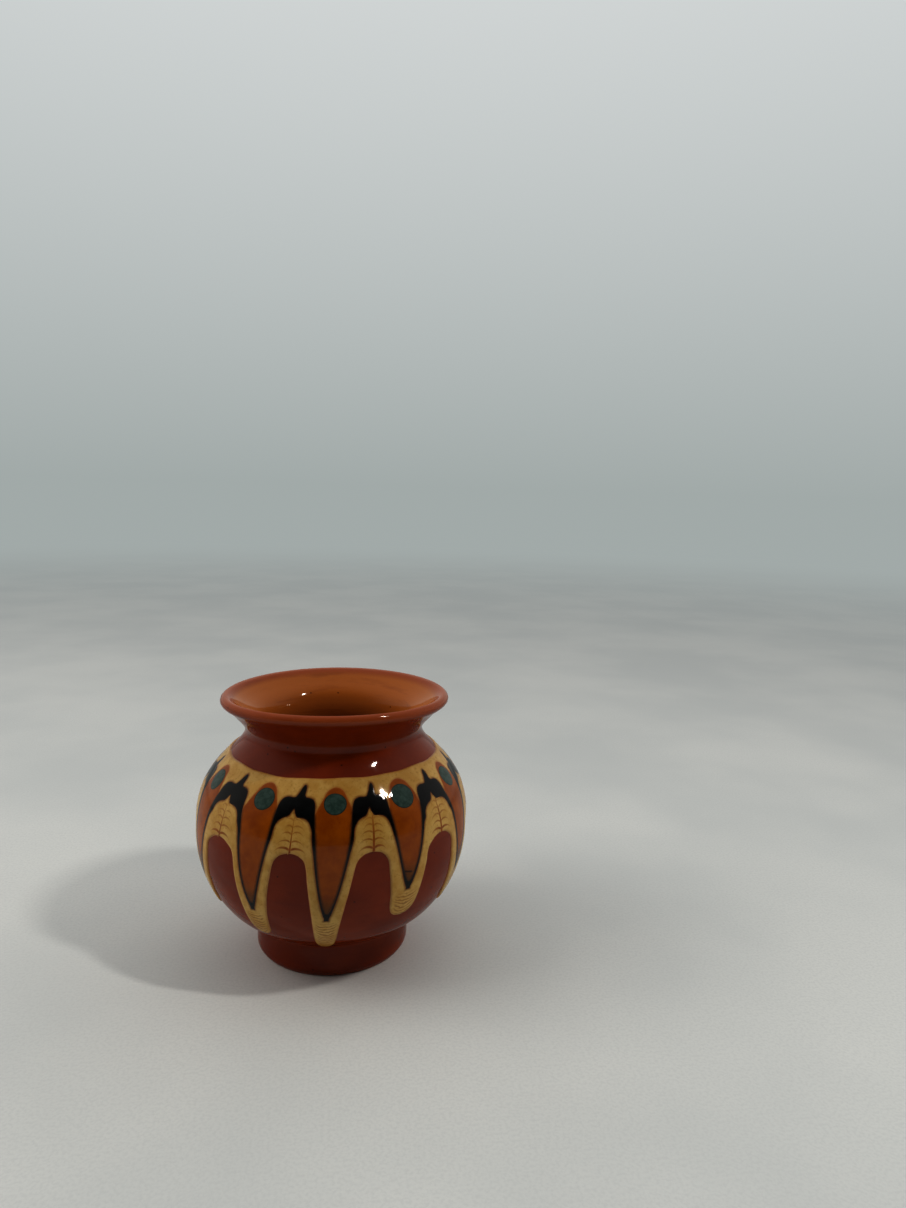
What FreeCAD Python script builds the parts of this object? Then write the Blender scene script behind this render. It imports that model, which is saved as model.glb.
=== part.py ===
import FreeCAD, Part
import math
import os

# A small wheel-thrown pot of red clay, with a foot, a round belly, a waisted neck and a
# flared lip. A collar of cream slip runs down it in long drops, and coloured slips lie
# flush in the cream: black caps, orange tongues, green dots and rust feathers.
# Millimetres, +Z up, origin at the centre of the foot's underside.
# Angles turn about +Z from the front (-Y) towards +X.

Vector = FreeCAD.Vector

# The thrown body: three heights that stack up, and the radius at each of them.
FOOT_HEIGHT = 6.0          # underside of the foot to the crease under the belly
BODY_HEIGHT = 36.6         # crease to the narrowest part of the neck
FLARE_HEIGHT = 7.3         # neck to the top of the lip
FOOT_RADIUS = 14.4
BELLY_RADIUS = 25.35       # bare clay, without the slip
NECK_RADIUS = 16.5
LIP_RADIUS = 21.1
BELLY_LEVEL = 0.51         # where the belly is widest, as a share of the body's height
FOOT_BEVEL = 0.7
LIP_ROUND = 1.0            # half of the lip's thickness
WALL = 3.0                 # clay at the belly and the neck
FLOOR = 5.2                # clay under the hollow

# The slips: one coat of cream, with the colours let into its outer part.
SLIP_THICKNESS = 0.35
INLAY_DEPTH = 0.18
SLIP_BEVEL = 0.2           # how far the collar's upper edge slopes in
COLLAR_TOP = 0.90          # the cream's upper edge, as a share of the body's height
DOT_RADIUS = 1.85
DOT_LEVEL = 0.803          # the dots' centres
HEAD_RIM = 0.5             # orange left showing beside a dot
STEM_WIDTH = 0.42          # the feather's midrib where it is widest
BARB_WIDTH = 0.22
BARB_LEVELS = [0.617, 0.650, 0.684, 0.716]

# One entry for each tongue, going round from the front. They are laid by hand, so the
# angles, the lean of each run, and how far the black and the cream ran all differ.
TONGUE_ANGLES = [0.5, 31.2, 65.5, 97.6, 130.8, 164.4, 196.1, 229.6, 261.2, 293.5, 328.8]
LEANS = [-6.0, -3.0, -4.0, -5.0, -2.0, -4.5, -3.0, -1.0, -5.5, -4.0, -5.0]
VEE_TIPS = [0.268, 0.383, 0.34, 0.30, 0.36, 0.27, 0.32, 0.38, 0.29, 0.33, 0.287]
DROP_TIPS = [0.044, 0.232, 0.17, 0.09, 0.20, 0.06, 0.14, 0.22, 0.08, 0.17, 0.12]
DOT_SIZES = [1.0, 1.17, 1.07, 0.95, 1.05, 1.1, 0.95, 1.15, 1.0, 1.05, 1.03]

COUNT = len(TONGUE_ANGLES)
PITCH = 360.0 / COUNT
BODY_TOP = FOOT_HEIGHT + BODY_HEIGHT
HEIGHT = BODY_TOP + FLARE_HEIGHT

# The belly's outline between the crease, its widest part and the neck: each pair is a
# share of the height and a share of the radius between the two that it lies between.
LOWER_BELLY = [(0.14, 0.36), (0.31, 0.63), (0.55, 0.85), (0.78, 0.965)]
UPPER_BELLY = [(0.22, 0.035), (0.46, 0.185), (0.67, 0.49), (0.85, 0.83)]
FLARE = [(0.30, 0.14), (0.60, 0.46)]

# Where the black closes round a tongue, and how far its edges stand from the middle.
VEE_TOP = 0.76
VEE_SPREAD = 0.23
VEE_POWER = 0.62
VEE_FLARE = 0.03           # what the outer edge gains evenly on the way up
VEE_LEG = 0.06             # and what it gains just under the cap
VEE_FILL = 0.041           # solid black between a vee's tip and the orange inside it
VEE_END = 0.72             # the last of the vee's own curve, under the cap
FACING_LEVEL = 0.6         # where an outline's plane faces straight out from its middle

PRISM_START = 6.0          # outlines are pushed outwards from here, through the wall
PRISM_LENGTH = 34.0


def save(shape, node):
    shape.exportStep("parts/" + node + ".step")


def level_height(level):
    return FOOT_HEIGHT + level * BODY_HEIGHT


def between(low, high, share):
    return low + share * (high - low)


def smooth_curve(points, start=None, end=None):
    curve = Part.BSplineCurve()
    if start is None:
        curve.interpolate(points)
    else:
        curve.interpolate(Points=points, InitialTangent=start, FinalTangent=end)
    return curve


# ---- the thrown profile, drawn in the XZ plane

LIP_CENTRE = Vector(LIP_RADIUS - LIP_ROUND, 0, HEIGHT - LIP_ROUND)
LIP_ANGLE = 35             # how steeply the flare rises to the lip
LIP_SLOPE = Vector(math.cos(math.radians(LIP_ANGLE)), 0, math.sin(math.radians(LIP_ANGLE)))


def lip_point(degrees):
    angle = math.radians(degrees)
    return LIP_CENTRE + Vector(math.cos(angle), 0, math.sin(angle)) * LIP_ROUND


def outside_curve():
    """The outer face from the crease to the underside of the lip."""
    belly_height = level_height(BELLY_LEVEL)
    points = [Vector(FOOT_RADIUS, 0, FOOT_HEIGHT)]
    for rise, spread in LOWER_BELLY:
        radius = between(FOOT_RADIUS, BELLY_RADIUS, spread)
        points.append(Vector(radius, 0, between(FOOT_HEIGHT, belly_height, rise)))
    points.append(Vector(BELLY_RADIUS, 0, belly_height))
    for rise, spread in UPPER_BELLY:
        radius = between(BELLY_RADIUS, NECK_RADIUS, spread)
        points.append(Vector(radius, 0, between(belly_height, BODY_TOP, rise)))
    points.append(Vector(NECK_RADIUS, 0, BODY_TOP))
    underside = lip_point(LIP_ANGLE - 90)
    for rise, spread in FLARE:
        radius = between(NECK_RADIUS, underside.x, spread)
        points.append(Vector(radius, 0, between(BODY_TOP, underside.z, rise)))
    points.append(underside)
    return smooth_curve(points, Vector(1, 0, 0.62), LIP_SLOPE)


OUTSIDE = outside_curve()


def place_at(height):
    """The outer curve's parameter at a height."""
    low = OUTSIDE.FirstParameter
    high = OUTSIDE.LastParameter
    for _ in range(40):
        middle = 0.5 * (low + high)
        if OUTSIDE.value(middle).z < height:
            low = middle
        else:
            high = middle
    return low


def radius_at(level):
    return OUTSIDE.value(place_at(level_height(level))).x


def normal_at(place):
    along = OUTSIDE.tangent(place)[0]
    return Vector(along.z, 0, -along.x).normalize()


def beside(place, distance):
    """A point off the outer face: outwards where the distance is positive."""
    return OUTSIDE.value(place) + normal_at(place) * distance


def inside_curve():
    """The hollow's face, from the lip down to the middle of the floor."""
    first = OUTSIDE.FirstParameter
    last = OUTSIDE.LastParameter
    neck = (place_at(BODY_TOP) - first) / (last - first)
    points = [lip_point(LIP_ANGLE + 90)]
    for share in (0.62, 0.25):
        wall = between(WALL, 2 * LIP_ROUND, share)
        points.append(beside(between(first, last, between(neck, 1.0, share)), -wall))
    for share in (0.97, 0.84, 0.70, 0.56, 0.43, 0.30, 0.19):
        points.append(beside(between(first, last, neck * share), -WALL))
    corner = points[-1]
    points.append(Vector(0.55 * corner.x, 0, between(FLOOR, corner.z, 0.14)))
    points.append(Vector(0, 0, FLOOR))
    return smooth_curve(points, LIP_SLOPE * -1, Vector(-1, 0, 0))


def revolve(edges):
    face = Part.Face(Part.Wire(edges))
    return face.revolve(Vector(0, 0, 0), Vector(0, 0, 1), 360)


def clay_body():
    outline = [
        Vector(0, 0, 0),
        Vector(FOOT_RADIUS - FOOT_BEVEL, 0, 0),
        Vector(FOOT_RADIUS, 0, FOOT_BEVEL),
        Vector(FOOT_RADIUS, 0, FOOT_HEIGHT),
    ]
    edges = [Part.makeLine(outline[i], outline[i + 1]) for i in range(len(outline) - 1)]
    edges.append(OUTSIDE.toShape())
    lip = [lip_point(LIP_ANGLE + turn) for turn in (-90, 0, 90)]
    edges.append(Part.Arc(*lip).toShape())
    edges.append(inside_curve().toShape())
    edges.append(Part.makeLine(Vector(0, 0, FLOOR), outline[0]))
    return revolve(edges)


# ---- the coat of slip

def coat(inner, outer, bevel):
    """A ring over the outer face, between two distances from it."""
    first = place_at(level_height(0.02))
    last = place_at(level_height(COLLAR_TOP))
    steps = 24
    edge_places = [between(first, last, i / steps) for i in range(steps + 1)]
    if inner == 0:
        low = OUTSIDE.toShape(first, last)
    else:
        low = smooth_curve([beside(place, inner) for place in edge_places]).toShape()
    outer_places = [between(first + bevel, last - bevel, i / steps) for i in range(steps + 1)]
    high = smooth_curve([beside(place, outer) for place in outer_places]).toShape()
    low_ends = [low.valueAt(low.FirstParameter), low.valueAt(low.LastParameter)]
    high_ends = [high.valueAt(high.FirstParameter), high.valueAt(high.LastParameter)]
    foot = Part.makeLine(high_ends[0], low_ends[0])
    top = Part.makeLine(low_ends[1], high_ends[1])
    return revolve([low, top, high, foot])


# ---- outlines on the wall, pushed outwards through the coat

def flat_point(facing, angle, level):
    """Where a place on the wall falls in the flat plane that faces outwards at an angle."""
    turn = math.radians(facing)
    across = radius_at(level) * math.sin(math.radians(angle - facing))
    outward = Vector(math.sin(turn), -math.cos(turn), 0)
    sideways = Vector(math.cos(turn), math.sin(turn), 0)
    return outward * PRISM_START + sideways * across + Vector(0, 0, level_height(level))


def prism(facing, stretches):
    """Push a closed outline outwards. Each stretch is smooth and meets the next in a corner."""
    edges = []
    for stretch in stretches:
        points = [flat_point(facing, angle, level) for angle, level in stretch]
        if len(points) == 2:
            edges.append(Part.makeLine(points[0], points[1]))
        else:
            edges.append(smooth_curve(points).toShape())
    turn = math.radians(facing)
    outward = Vector(math.sin(turn), -math.cos(turn), 0)
    return Part.Face(Part.Wire(edges)).extrude(outward * PRISM_LENGTH)


def tongue_line(index, level):
    """The middle of a tongue, which leans as it runs down."""
    turns, place = divmod(index, COUNT)
    return TONGUE_ANGLES[place] + 360.0 * turns + LEANS[place] * (0.8 - level)


def window_line(index, level):
    """The middle of the gap between a tongue and the next one."""
    return 0.5 * (tongue_line(index, level) + tongue_line(index + 1, level))


def vee_inner(index, level):
    """Half of the orange's width between the black lines, as a share of the pitch."""
    bottom = VEE_TIPS[index % COUNT] + VEE_FILL
    return VEE_SPREAD * ((level - bottom) / (VEE_TOP - bottom)) ** VEE_POWER


def vee_outer(index, level):
    bottom = VEE_TIPS[index % COUNT]
    rise = (level - bottom) / (VEE_TOP - bottom)
    return VEE_SPREAD * rise ** VEE_POWER + VEE_FLARE * rise + VEE_LEG * rise ** 6


def drop_half_width(level):
    """Half of a cream drop's width, as a share of the pitch."""
    return 0.155 + 0.45 * max(0.0, level - 0.1) ** 1.5


def beside_tongue(index, side, share, level):
    return (tongue_line(index, level) + side * share * PITCH, level)


def in_window(index, share, level):
    pitch = tongue_line(index + 1, level) - tongue_line(index, level)
    return (window_line(index, level) + share * pitch, level)


def in_window_all(index, points):
    return [in_window(index, share, level) for share, level in points]


def straight_sides(corners):
    return [[corners[i], corners[i + 1]] for i in range(len(corners) - 1)]


def drop_side(index, side):
    """One side of a cream drop, from under its tip to where the arch begins."""
    tip = DROP_TIPS[index % COUNT]
    points = [beside_tongue(index, -side, 0.03, tip)]
    for share, rise in [(0.55, 0.010), (0.9, 0.038), (1.0, 0.075)]:
        level = tip + rise
        points.append(beside_tongue(index, side, share * drop_half_width(level), level))
    straight = points[-1][1]
    for share in (0.25, 0.5, 0.75, 1.0):
        level = between(straight, 0.55, share)
        points.append(beside_tongue(index, side, drop_half_width(level), level))
    return points


def red_window(index):
    """The bare clay between two cream drops, open below their tips."""
    arch = in_window_all(index, [(-0.13, 0.585), (-0.04, 0.598), (0.04, 0.598), (0.13, 0.585)])
    edge = drop_side(index, 1) + arch + drop_side(index + 1, -1)[::-1]
    below = -0.02
    corners = [edge[-1], (edge[-1][0], below), (edge[0][0], below), edge[0]]
    return prism(window_line(index, FACING_LEVEL), [edge] + straight_sides(corners))


def vee_edge(index, side, width):
    """One edge of a black line, rising from the vee's tip to the cap."""
    bottom = VEE_TIPS[index % COUNT]
    if width is vee_inner:
        bottom += VEE_FILL
    points = [beside_tongue(index, -side, 0.03, bottom)]
    for share in (0.03, 0.12, 0.28, 0.50, 0.74):
        level = between(bottom, VEE_END, share)
        points.append(beside_tongue(index, side, width(index, level), level))
    return points


def sector(index):
    """The wedge from one vee's tip to the next."""
    start = math.radians(tongue_line(index, VEE_TIPS[index % COUNT]))
    end = math.radians(tongue_line(index + 1, VEE_TIPS[(index + 1) % COUNT]))
    reach = 2 * BELLY_RADIUS
    corners = [Vector(0, 0, 0)]
    for angle in (start, 0.5 * (start + end), end):
        corners.append(Vector(reach * math.sin(angle), -reach * math.cos(angle), 0))
    return Part.Face(Part.makePolygon(corners + corners[:1])).extrude(Vector(0, 0, HEIGHT))


def cap_outline(index):
    """A black cap: two lobes and a slanting spike, with a thin line running down each side."""
    left_lobe = [
        (-0.272, 0.765), (-0.258, 0.795), (-0.225, 0.816), (-0.16, 0.824), (-0.09, 0.823), (-0.05, 0.825),
    ]
    spike = [
        (-0.05, 0.825), (-0.012, 0.843), (0.016, 0.861), (0.045, 0.870),
        (0.072, 0.863), (0.078, 0.846), (0.076, 0.833), (0.10, 0.825),
    ]
    right_lobe = [(0.10, 0.825), (0.15, 0.824), (0.205, 0.817), (0.238, 0.797), (0.250, 0.765)]
    right_arch = [
        (0.240, 0.695), (0.210, 0.722), (0.170, 0.740), (0.110, 0.749),
        (0.035, 0.751), (0.005, 0.759), (-0.014, 0.770), (-0.030, 0.783),
    ]
    left_arch = [
        (-0.030, 0.783), (-0.050, 0.773), (-0.068, 0.762), (-0.095, 0.753),
        (-0.140, 0.747), (-0.190, 0.737), (-0.228, 0.718), (-0.243, 0.695),
    ]
    rising = vee_edge(index, 1, vee_inner) + in_window_all(index, left_lobe)
    falling = in_window_all(index, right_lobe) + vee_edge(index + 1, -1, vee_inner)[::-1]
    under_right = vee_edge(index + 1, -1, vee_outer) + in_window_all(index, right_arch)
    under_left = in_window_all(index, left_arch) + vee_edge(index, 1, vee_outer)[::-1]
    return [
        rising,
        in_window_all(index, spike),
        falling,
        [falling[-1], under_right[0]],
        under_right,
        under_left,
        [under_left[-1], rising[0]],
    ]


def black_cap(index):
    return prism(window_line(index, FACING_LEVEL), cap_outline(index)).common(sector(index))


def dot_radius(index):
    return DOT_RADIUS * DOT_SIZES[index]


def level_per_mm(level):
    """How much of the body's height a millimetre along the wall climbs."""
    return normal_at(place_at(level_height(level))).x / BODY_HEIGHT


def orange_tongue(index):
    """The orange between two caps. Its sides lie under the black, which is cut from it."""
    tip = VEE_TIPS[index]
    dot = dot_radius(index)
    head = (dot + HEAD_RIM) / (radius_at(DOT_LEVEL) * math.radians(PITCH))
    crown = DOT_LEVEL + (dot + 2 * HEAD_RIM) * level_per_mm(DOT_LEVEL)
    half = [(0.56 * head, crown - 0.013), (0.88 * head, crown - 0.046), (head, DOT_LEVEL)]
    half += [(max(0.225, head), 0.776), (0.252, 0.742)]
    for share in (0.8, 0.55, 0.3, 0.12):
        level = between(tip + VEE_FILL, VEE_END, share)
        half.append((0.5 * (vee_inner(index, level) + vee_outer(index, level)), level))
    right = [beside_tongue(index, 1, share, level) for share, level in half]
    left = [beside_tongue(index, -1, share, level) for share, level in half]
    top = beside_tongue(index, 1, 0.0, crown)
    bottom = beside_tongue(index, 1, 0.0, tip + 0.5 * VEE_FILL)
    return prism(tongue_line(index, FACING_LEVEL), [[bottom] + left[::-1] + [top] + right + [bottom]])


def green_dot(index):
    """A round dot let in square to the wall, in the head of a tongue."""
    place = place_at(level_height(DOT_LEVEL))
    spin = FreeCAD.Rotation(Vector(0, 0, 1), TONGUE_ANGLES[index] - 90)
    start = spin.multVec(beside(place, -WALL))
    out = spin.multVec(normal_at(place))
    return Part.makeCylinder(dot_radius(index), 2 * WALL, start, out)


def rust_feather(index):
    """A midrib under the cap's point, with four thin barbs bent down on each side."""
    facing = window_line(index, FACING_LEVEL)
    half_stem = 0.5 * STEM_WIDTH / (BELLY_RADIUS * math.radians(PITCH))
    stem = [(-0.4 * half_stem, 0.80), (-half_stem, 0.57), (half_stem, 0.57), (0.4 * half_stem, 0.80)]
    feather = prism(facing, straight_sides(in_window_all(index, stem + stem[:1])))
    barbs = []
    for step, level in enumerate(BARB_LEVELS):
        half = 0.5 * BARB_WIDTH * level_per_mm(level)
        if step == 0:
            half *= 1.5
        reach = 0.17 - 0.008 * step
        for side in (-1, 1):
            tip = (side * reach, level - 0.011)
            upper = [(0, level + half), (side * 0.5 * reach, level + 0.004 + half), tip]
            lower = [tip, (side * 0.5 * reach, level + 0.004 - half), (0, level - half)]
            root = [lower[-1], upper[0]]
            barbs.append(prism(facing, [in_window_all(index, edge) for edge in (upper, lower, root)]))
    return feather.fuse(barbs)


# ---- building and saving

def largest(shape):
    """The one solid of a cut, without crumbs that it leaves at a corner."""
    return max(shape.Solids, key=lambda solid: solid.Volume)


def main():
    os.makedirs("parts", exist_ok=True)
    save(clay_body(), "clay_body")

    slip = coat(0, SLIP_THICKNESS, SLIP_BEVEL)
    windows = [red_window(i) for i in range(COUNT)]
    cream = slip.cut(windows)

    inlay = coat(SLIP_THICKNESS - INLAY_DEPTH, SLIP_THICKNESS + 1.0, 0.0)
    caps = [inlay.common(black_cap(i)) for i in range(COUNT)]
    dots = [inlay.common(green_dot(i)) for i in range(COUNT)]
    tongues = [inlay.common(orange_tongue(i)).cut([caps[i - 1], caps[i], dots[i]]) for i in range(COUNT)]
    feathers = [inlay.common(rust_feather(i).cut(windows[i])).cut(caps[i]) for i in range(COUNT)]

    groups = {"black_cap": caps, "green_dot": dots, "orange_tongue": tongues, "rust_feather": feathers}
    for name, pieces in groups.items():
        for i, piece in enumerate(pieces):
            save(largest(slip.common(piece)), "%s_%02d" % (name, i + 1))
        cream = cream.cut(pieces)
    save(largest(cream), "cream_slip")


main()
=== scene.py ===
import bpy
import math
import numpy as np
from mathutils import Matrix, Vector


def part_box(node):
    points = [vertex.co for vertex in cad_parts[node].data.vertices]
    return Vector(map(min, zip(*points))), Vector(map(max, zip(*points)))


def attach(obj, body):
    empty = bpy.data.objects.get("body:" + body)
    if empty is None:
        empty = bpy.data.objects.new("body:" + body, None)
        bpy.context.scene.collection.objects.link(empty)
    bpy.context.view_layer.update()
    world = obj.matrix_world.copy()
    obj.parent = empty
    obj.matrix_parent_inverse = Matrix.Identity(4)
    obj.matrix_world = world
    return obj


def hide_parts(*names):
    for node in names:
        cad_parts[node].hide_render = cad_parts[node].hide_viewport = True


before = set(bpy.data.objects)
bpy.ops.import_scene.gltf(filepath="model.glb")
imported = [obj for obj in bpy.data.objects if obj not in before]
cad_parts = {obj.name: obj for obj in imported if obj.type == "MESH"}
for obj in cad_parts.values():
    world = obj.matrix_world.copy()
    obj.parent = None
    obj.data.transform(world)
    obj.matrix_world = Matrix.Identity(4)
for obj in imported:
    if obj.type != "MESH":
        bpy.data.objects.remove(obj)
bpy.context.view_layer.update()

# ---- The thrown pot
# One piece of red earthenware, thrown on a small wheel and cut off with a wire. The outside is
# smoothed with a rib, the hollow keeps its finger rings, and only the base is left without glaze.

MM = 0.001


def turned_outline(node):
    """The outer and the inner line of a turned CAD node, as rows of radius and height in mm."""
    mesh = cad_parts[node].data
    corners = np.array([vertex.co for vertex in mesh.vertices]) / MM
    normals = np.array([vertex.normal for vertex in mesh.vertices])
    radius = np.hypot(corners[:, 0], corners[:, 1])
    outward = (corners[:, :2] * normals[:, :2]).sum(axis=1) / np.maximum(radius, 0.001)
    lines = []
    for chosen in (outward > 0.05, outward < -0.05):
        rows = np.unique(np.round(np.column_stack([radius, corners[:, 2]])[chosen], 2), axis=0)
        lines.append(rows[np.argsort(rows[:, 1])])
    return lines


def resample(line, step):
    """The same line with even spaces between its points, and the distance run along it."""
    runs = np.hypot(*np.diff(line, axis=0).T)
    along = np.concatenate([[0.0], np.cumsum(runs)])
    even = np.linspace(0.0, along[-1], max(2, int(round(along[-1] / step)) + 1))
    return np.column_stack([np.interp(even, along, line[:, k]) for k in (0, 1)]), even


def smoothed(line, passes):
    """Rounds off the small flats that the CAD mesh leaves, with the two ends kept."""
    line = line.copy()
    for _ in range(passes):
        line[1:-1] = 0.25 * line[:-2] + 0.5 * line[1:-1] + 0.25 * line[2:]
    return line


def line_normals(line):
    """Unit normals on the right of a line that runs upwards, so outwards on the outer line."""
    along = np.gradient(line, axis=0)
    length = np.maximum(np.hypot(along[:, 0], along[:, 1]), 1e-9)
    return np.column_stack([along[:, 1], -along[:, 0]]) / length[:, None]


FOOT_HEIGHT = 6.0
NECK_HEIGHT = 42.6
OUTER, INNER = turned_outline("clay_body")
POT_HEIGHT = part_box("clay_body")[1].z / MM


def hand_of_the_thrower(points):
    """The small sway of a hand-thrown rim: a little oval, and lowest at the left."""
    x, y, z = points.T
    share = np.clip((z - NECK_HEIGHT) / (POT_HEIGHT - NECK_HEIGHT), 0.0, 1.0)
    share = share * share * (3.0 - 2.0 * share)
    turn = np.arctan2(x, -y)
    oval = 1.0 - share * (0.005 + 0.015 * np.cos(2.0 * turn) - 0.010 * np.sin(turn))
    # The rim sinks 0.03 mm in front, 0.45 at the right, 0.36 behind and 0.69 at the left.
    tilt = 0.12 * np.sin(turn) + 0.165 * np.cos(turn) + 0.1875 * np.cos(2.0 * turn) - 0.385
    return np.column_stack([x * oval, y * oval, z + share * tilt])


def make_mesh(name, points, faces, materials):
    mesh = bpy.data.meshes.new(name)
    mesh.from_pydata((points * MM).tolist(), [], faces)
    mesh.validate()
    mesh.update()
    for material in materials:
        mesh.materials.append(material)
    piece = bpy.data.objects.new(name, mesh)
    bpy.context.scene.collection.objects.link(piece)
    mesh.polygons.foreach_set("use_smooth", np.ones(len(mesh.polygons), bool))
    return piece


def keep_marks(piece, marks):
    """Stores values on a piece's corners, where its material can read them."""
    for key, values in marks.items():
        attribute = piece.data.attributes.new(key, "FLOAT", "POINT")
        attribute.data.foreach_set("value", np.asarray(values, np.float32))


def turn_profile(profile, columns):
    """Corners and faces of a profile turned round the axis, from the middle of the base to the
    middle of the hollow's floor. Both ends close on one corner."""
    turns = np.arange(columns) * 2.0 * math.pi / columns
    body = profile[1:-1]
    ring = np.stack([
        body[:, None, 0] * np.sin(turns),
        -body[:, None, 0] * np.cos(turns),
        np.repeat(body[:, None, 1], columns, axis=1),
    ], axis=-1)
    points = np.vstack([[0.0, 0.0, profile[0, 1]], ring.reshape(-1, 3), [0.0, 0.0, profile[-1, 1]]])
    rows = len(body)
    here = 1 + np.arange(rows)[:, None] * columns + np.arange(columns)[None, :]
    right = np.roll(here, -1, axis=1)
    quads = np.stack([here[:-1], right[:-1], right[1:], here[1:]], axis=-1).reshape(-1, 4)
    last = len(points) - 1
    base = [[0, int(b), int(a)] for a, b in zip(here[0], right[0])]
    floor = [[last, int(a), int(b)] for a, b in zip(here[-1], right[-1])]
    return points, base + quads.tolist() + floor


CLAY_COLUMNS = 330
THROWING_WIDE = (0.010, 3.1)
THROWING_FINE = (0.006, 1.7)
FINGER_RING = (0.055, 2.3)


def build_clay():
    """The turned body with its throwing lines and finger rings, and how far each corner is lined
    with the amber of the hollow."""
    outer, _ = resample(OUTER, 0.45)
    outer = smoothed(outer, 2)
    height = outer[:, 1]
    turning = 0.0
    for depth, spacing in (THROWING_WIDE, THROWING_FINE):
        turning = turning + depth * np.sin(2.0 * math.pi * height / spacing)
    over_foot = np.clip((height - 1.5) / 2.0, 0.0, 1.0)
    under_lip = np.clip((POT_HEIGHT - 3.0 - height) / 2.0, 0.0, 1.0)
    deepest = THROWING_WIDE[0] + THROWING_FINE[0]
    outer += line_normals(outer) * ((turning - deepest) * over_foot * under_lip)[:, None]
    inner, run = resample(INNER, 0.5)
    inner = smoothed(inner, 2)
    rings = FINGER_RING[0] * (0.5 - 0.5 * np.cos(2.0 * math.pi * run / FINGER_RING[1]))
    rings *= np.clip(1.2 - run / run[-1], 0.35, 1.0)
    near_lip = np.clip((run[-1] - run) / 3.0, 0.0, 1.0)
    inner += line_normals(inner) * (0.5 * rings * near_lip)[:, None]
    base, _ = resample(np.array([[0.0, 0.0], OUTER[0]]), 0.5)
    base[:, 1] = 0.0
    hollow, _ = resample(np.vstack([inner[0], [0.0, inner[0, 1]]]), 0.5)
    profile = np.vstack([base[:-1], outer, inner[::-1][1:], hollow[1:]])
    points, faces = turn_profile(profile, CLAY_COLUMNS)
    from_lip = np.concatenate([
        np.zeros(len(base) - 1 + len(outer)),
        run[-1] - run[::-1][1:],
        np.full(len(hollow) - 1, run[-1]),
    ])
    lining = np.clip((from_lip - 0.4) / 2.2, 0.0, 1.0)
    lining = np.concatenate([lining[:1], np.repeat(lining[1:-1], CLAY_COLUMNS), lining[-1:]])
    return points, faces, lining


def linear(code):
    """An sRGB hex colour as the linear values that a shader takes."""
    values = [int(code[k:k + 2], 16) / 255.0 for k in (0, 2, 4)]
    return [v / 12.92 if v <= 0.04045 else ((v + 0.055) / 1.055) ** 2.4 for v in values] + [1.0]


def add(tree, kind, settings=None, links=None):
    """Adds a node, sets its properties and socket values, and links its inputs."""
    node = tree.nodes.new("ShaderNode" + kind)
    for key, value in (settings or {}).items():
        if isinstance(key, int) or key in node.inputs:
            node.inputs[key].default_value = value
        else:
            setattr(node, key, value)
    for key, socket in (links or {}).items():
        tree.links.new(socket, node.inputs[key])
    return node


def new_material(name):
    material = bpy.data.materials.new(name)
    material.use_nodes = True
    tree = material.node_tree
    tree.nodes.clear()
    return material, tree


def tint(tree, below, above, share):
    """Lays one colour over another by a share. Either may be a hex code or a socket."""
    mix = add(tree, "Mix", {"data_type": "RGBA"}, {0: share})
    for index, colour in ((6, below), (7, above)):
        if isinstance(colour, str):
            mix.inputs[index].default_value = linear(colour)
        else:
            tree.links.new(colour, mix.inputs[index])
    return mix.outputs[2]


def noise(tree, place, size, detail, roughness=0.5):
    """Cloudy noise with patches about as wide as a size in mm."""
    settings = {"Scale": 1.0 / (size * MM), "Detail": detail, "Roughness": roughness}
    return add(tree, "TexNoise", settings, {"Vector": place}).outputs[0]


def marked(tree, key):
    """A value that was kept on the corners of the mesh."""
    return add(tree, "Attribute", {"attribute_name": key}).outputs["Fac"]


def work(tree, operation, *values):
    """One step of arithmetic on sockets and numbers."""
    numbers = {}
    sockets = {}
    for order, value in enumerate(values):
        if isinstance(value, (int, float)):
            numbers[order] = value
        else:
            sockets[order] = value
    return add(tree, "Math", {"operation": operation, **numbers}, sockets).outputs[0]


def ramp(tree, value, low, high, top=1.0):
    """A soft step from 0 to top while a value goes from low to high."""
    step = add(tree, "MapRange", {"interpolation_type": "SMOOTHSTEP", 1: low, 2: high, 4: top}, {0: value})
    return step.outputs[0]


GLAZE_WAVE = 0.10
GLAZE_SMOOTHEST = 0.045
GLAZE_ROUGHEST = 0.115


def finish_glazed(tree, colour, body_roughness):
    """The clear glaze: a hard glossy coat over the fired slip, a little uneven as it pooled."""
    place = add(tree, "TexCoord").outputs["Object"]
    pools = noise(tree, place, 4.5, 2.0, 0.4)
    stretch = add(tree, "Mapping", {"Scale": (1.0, 1.0, 4.0)}, {"Vector": place})
    rib = noise(tree, stretch.outputs[0], 5.0, 2.0, 0.5)
    height = work(tree, "MULTIPLY_ADD", rib, 0.30, pools)
    wave = add(tree, "Bump", {"Strength": 0.15, "Distance": GLAZE_WAVE * MM}, {"Height": height})
    smear = add(tree, "MapRange", {1: 0.35, 2: 0.75, 3: GLAZE_SMOOTHEST, 4: GLAZE_ROUGHEST}, {0: rib})
    shader = add(tree, "BsdfPrincipled", {
        "Roughness": body_roughness, "Specular IOR Level": 0.0, "Coat Weight": 0.7, "Coat IOR": 1.45,
    }, {"Base Color": colour, "Coat Roughness": smear.outputs[0], "Coat Normal": wave.outputs[0]})
    add(tree, "OutputMaterial", None, {"Surface": shader.outputs[0]})


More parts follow.
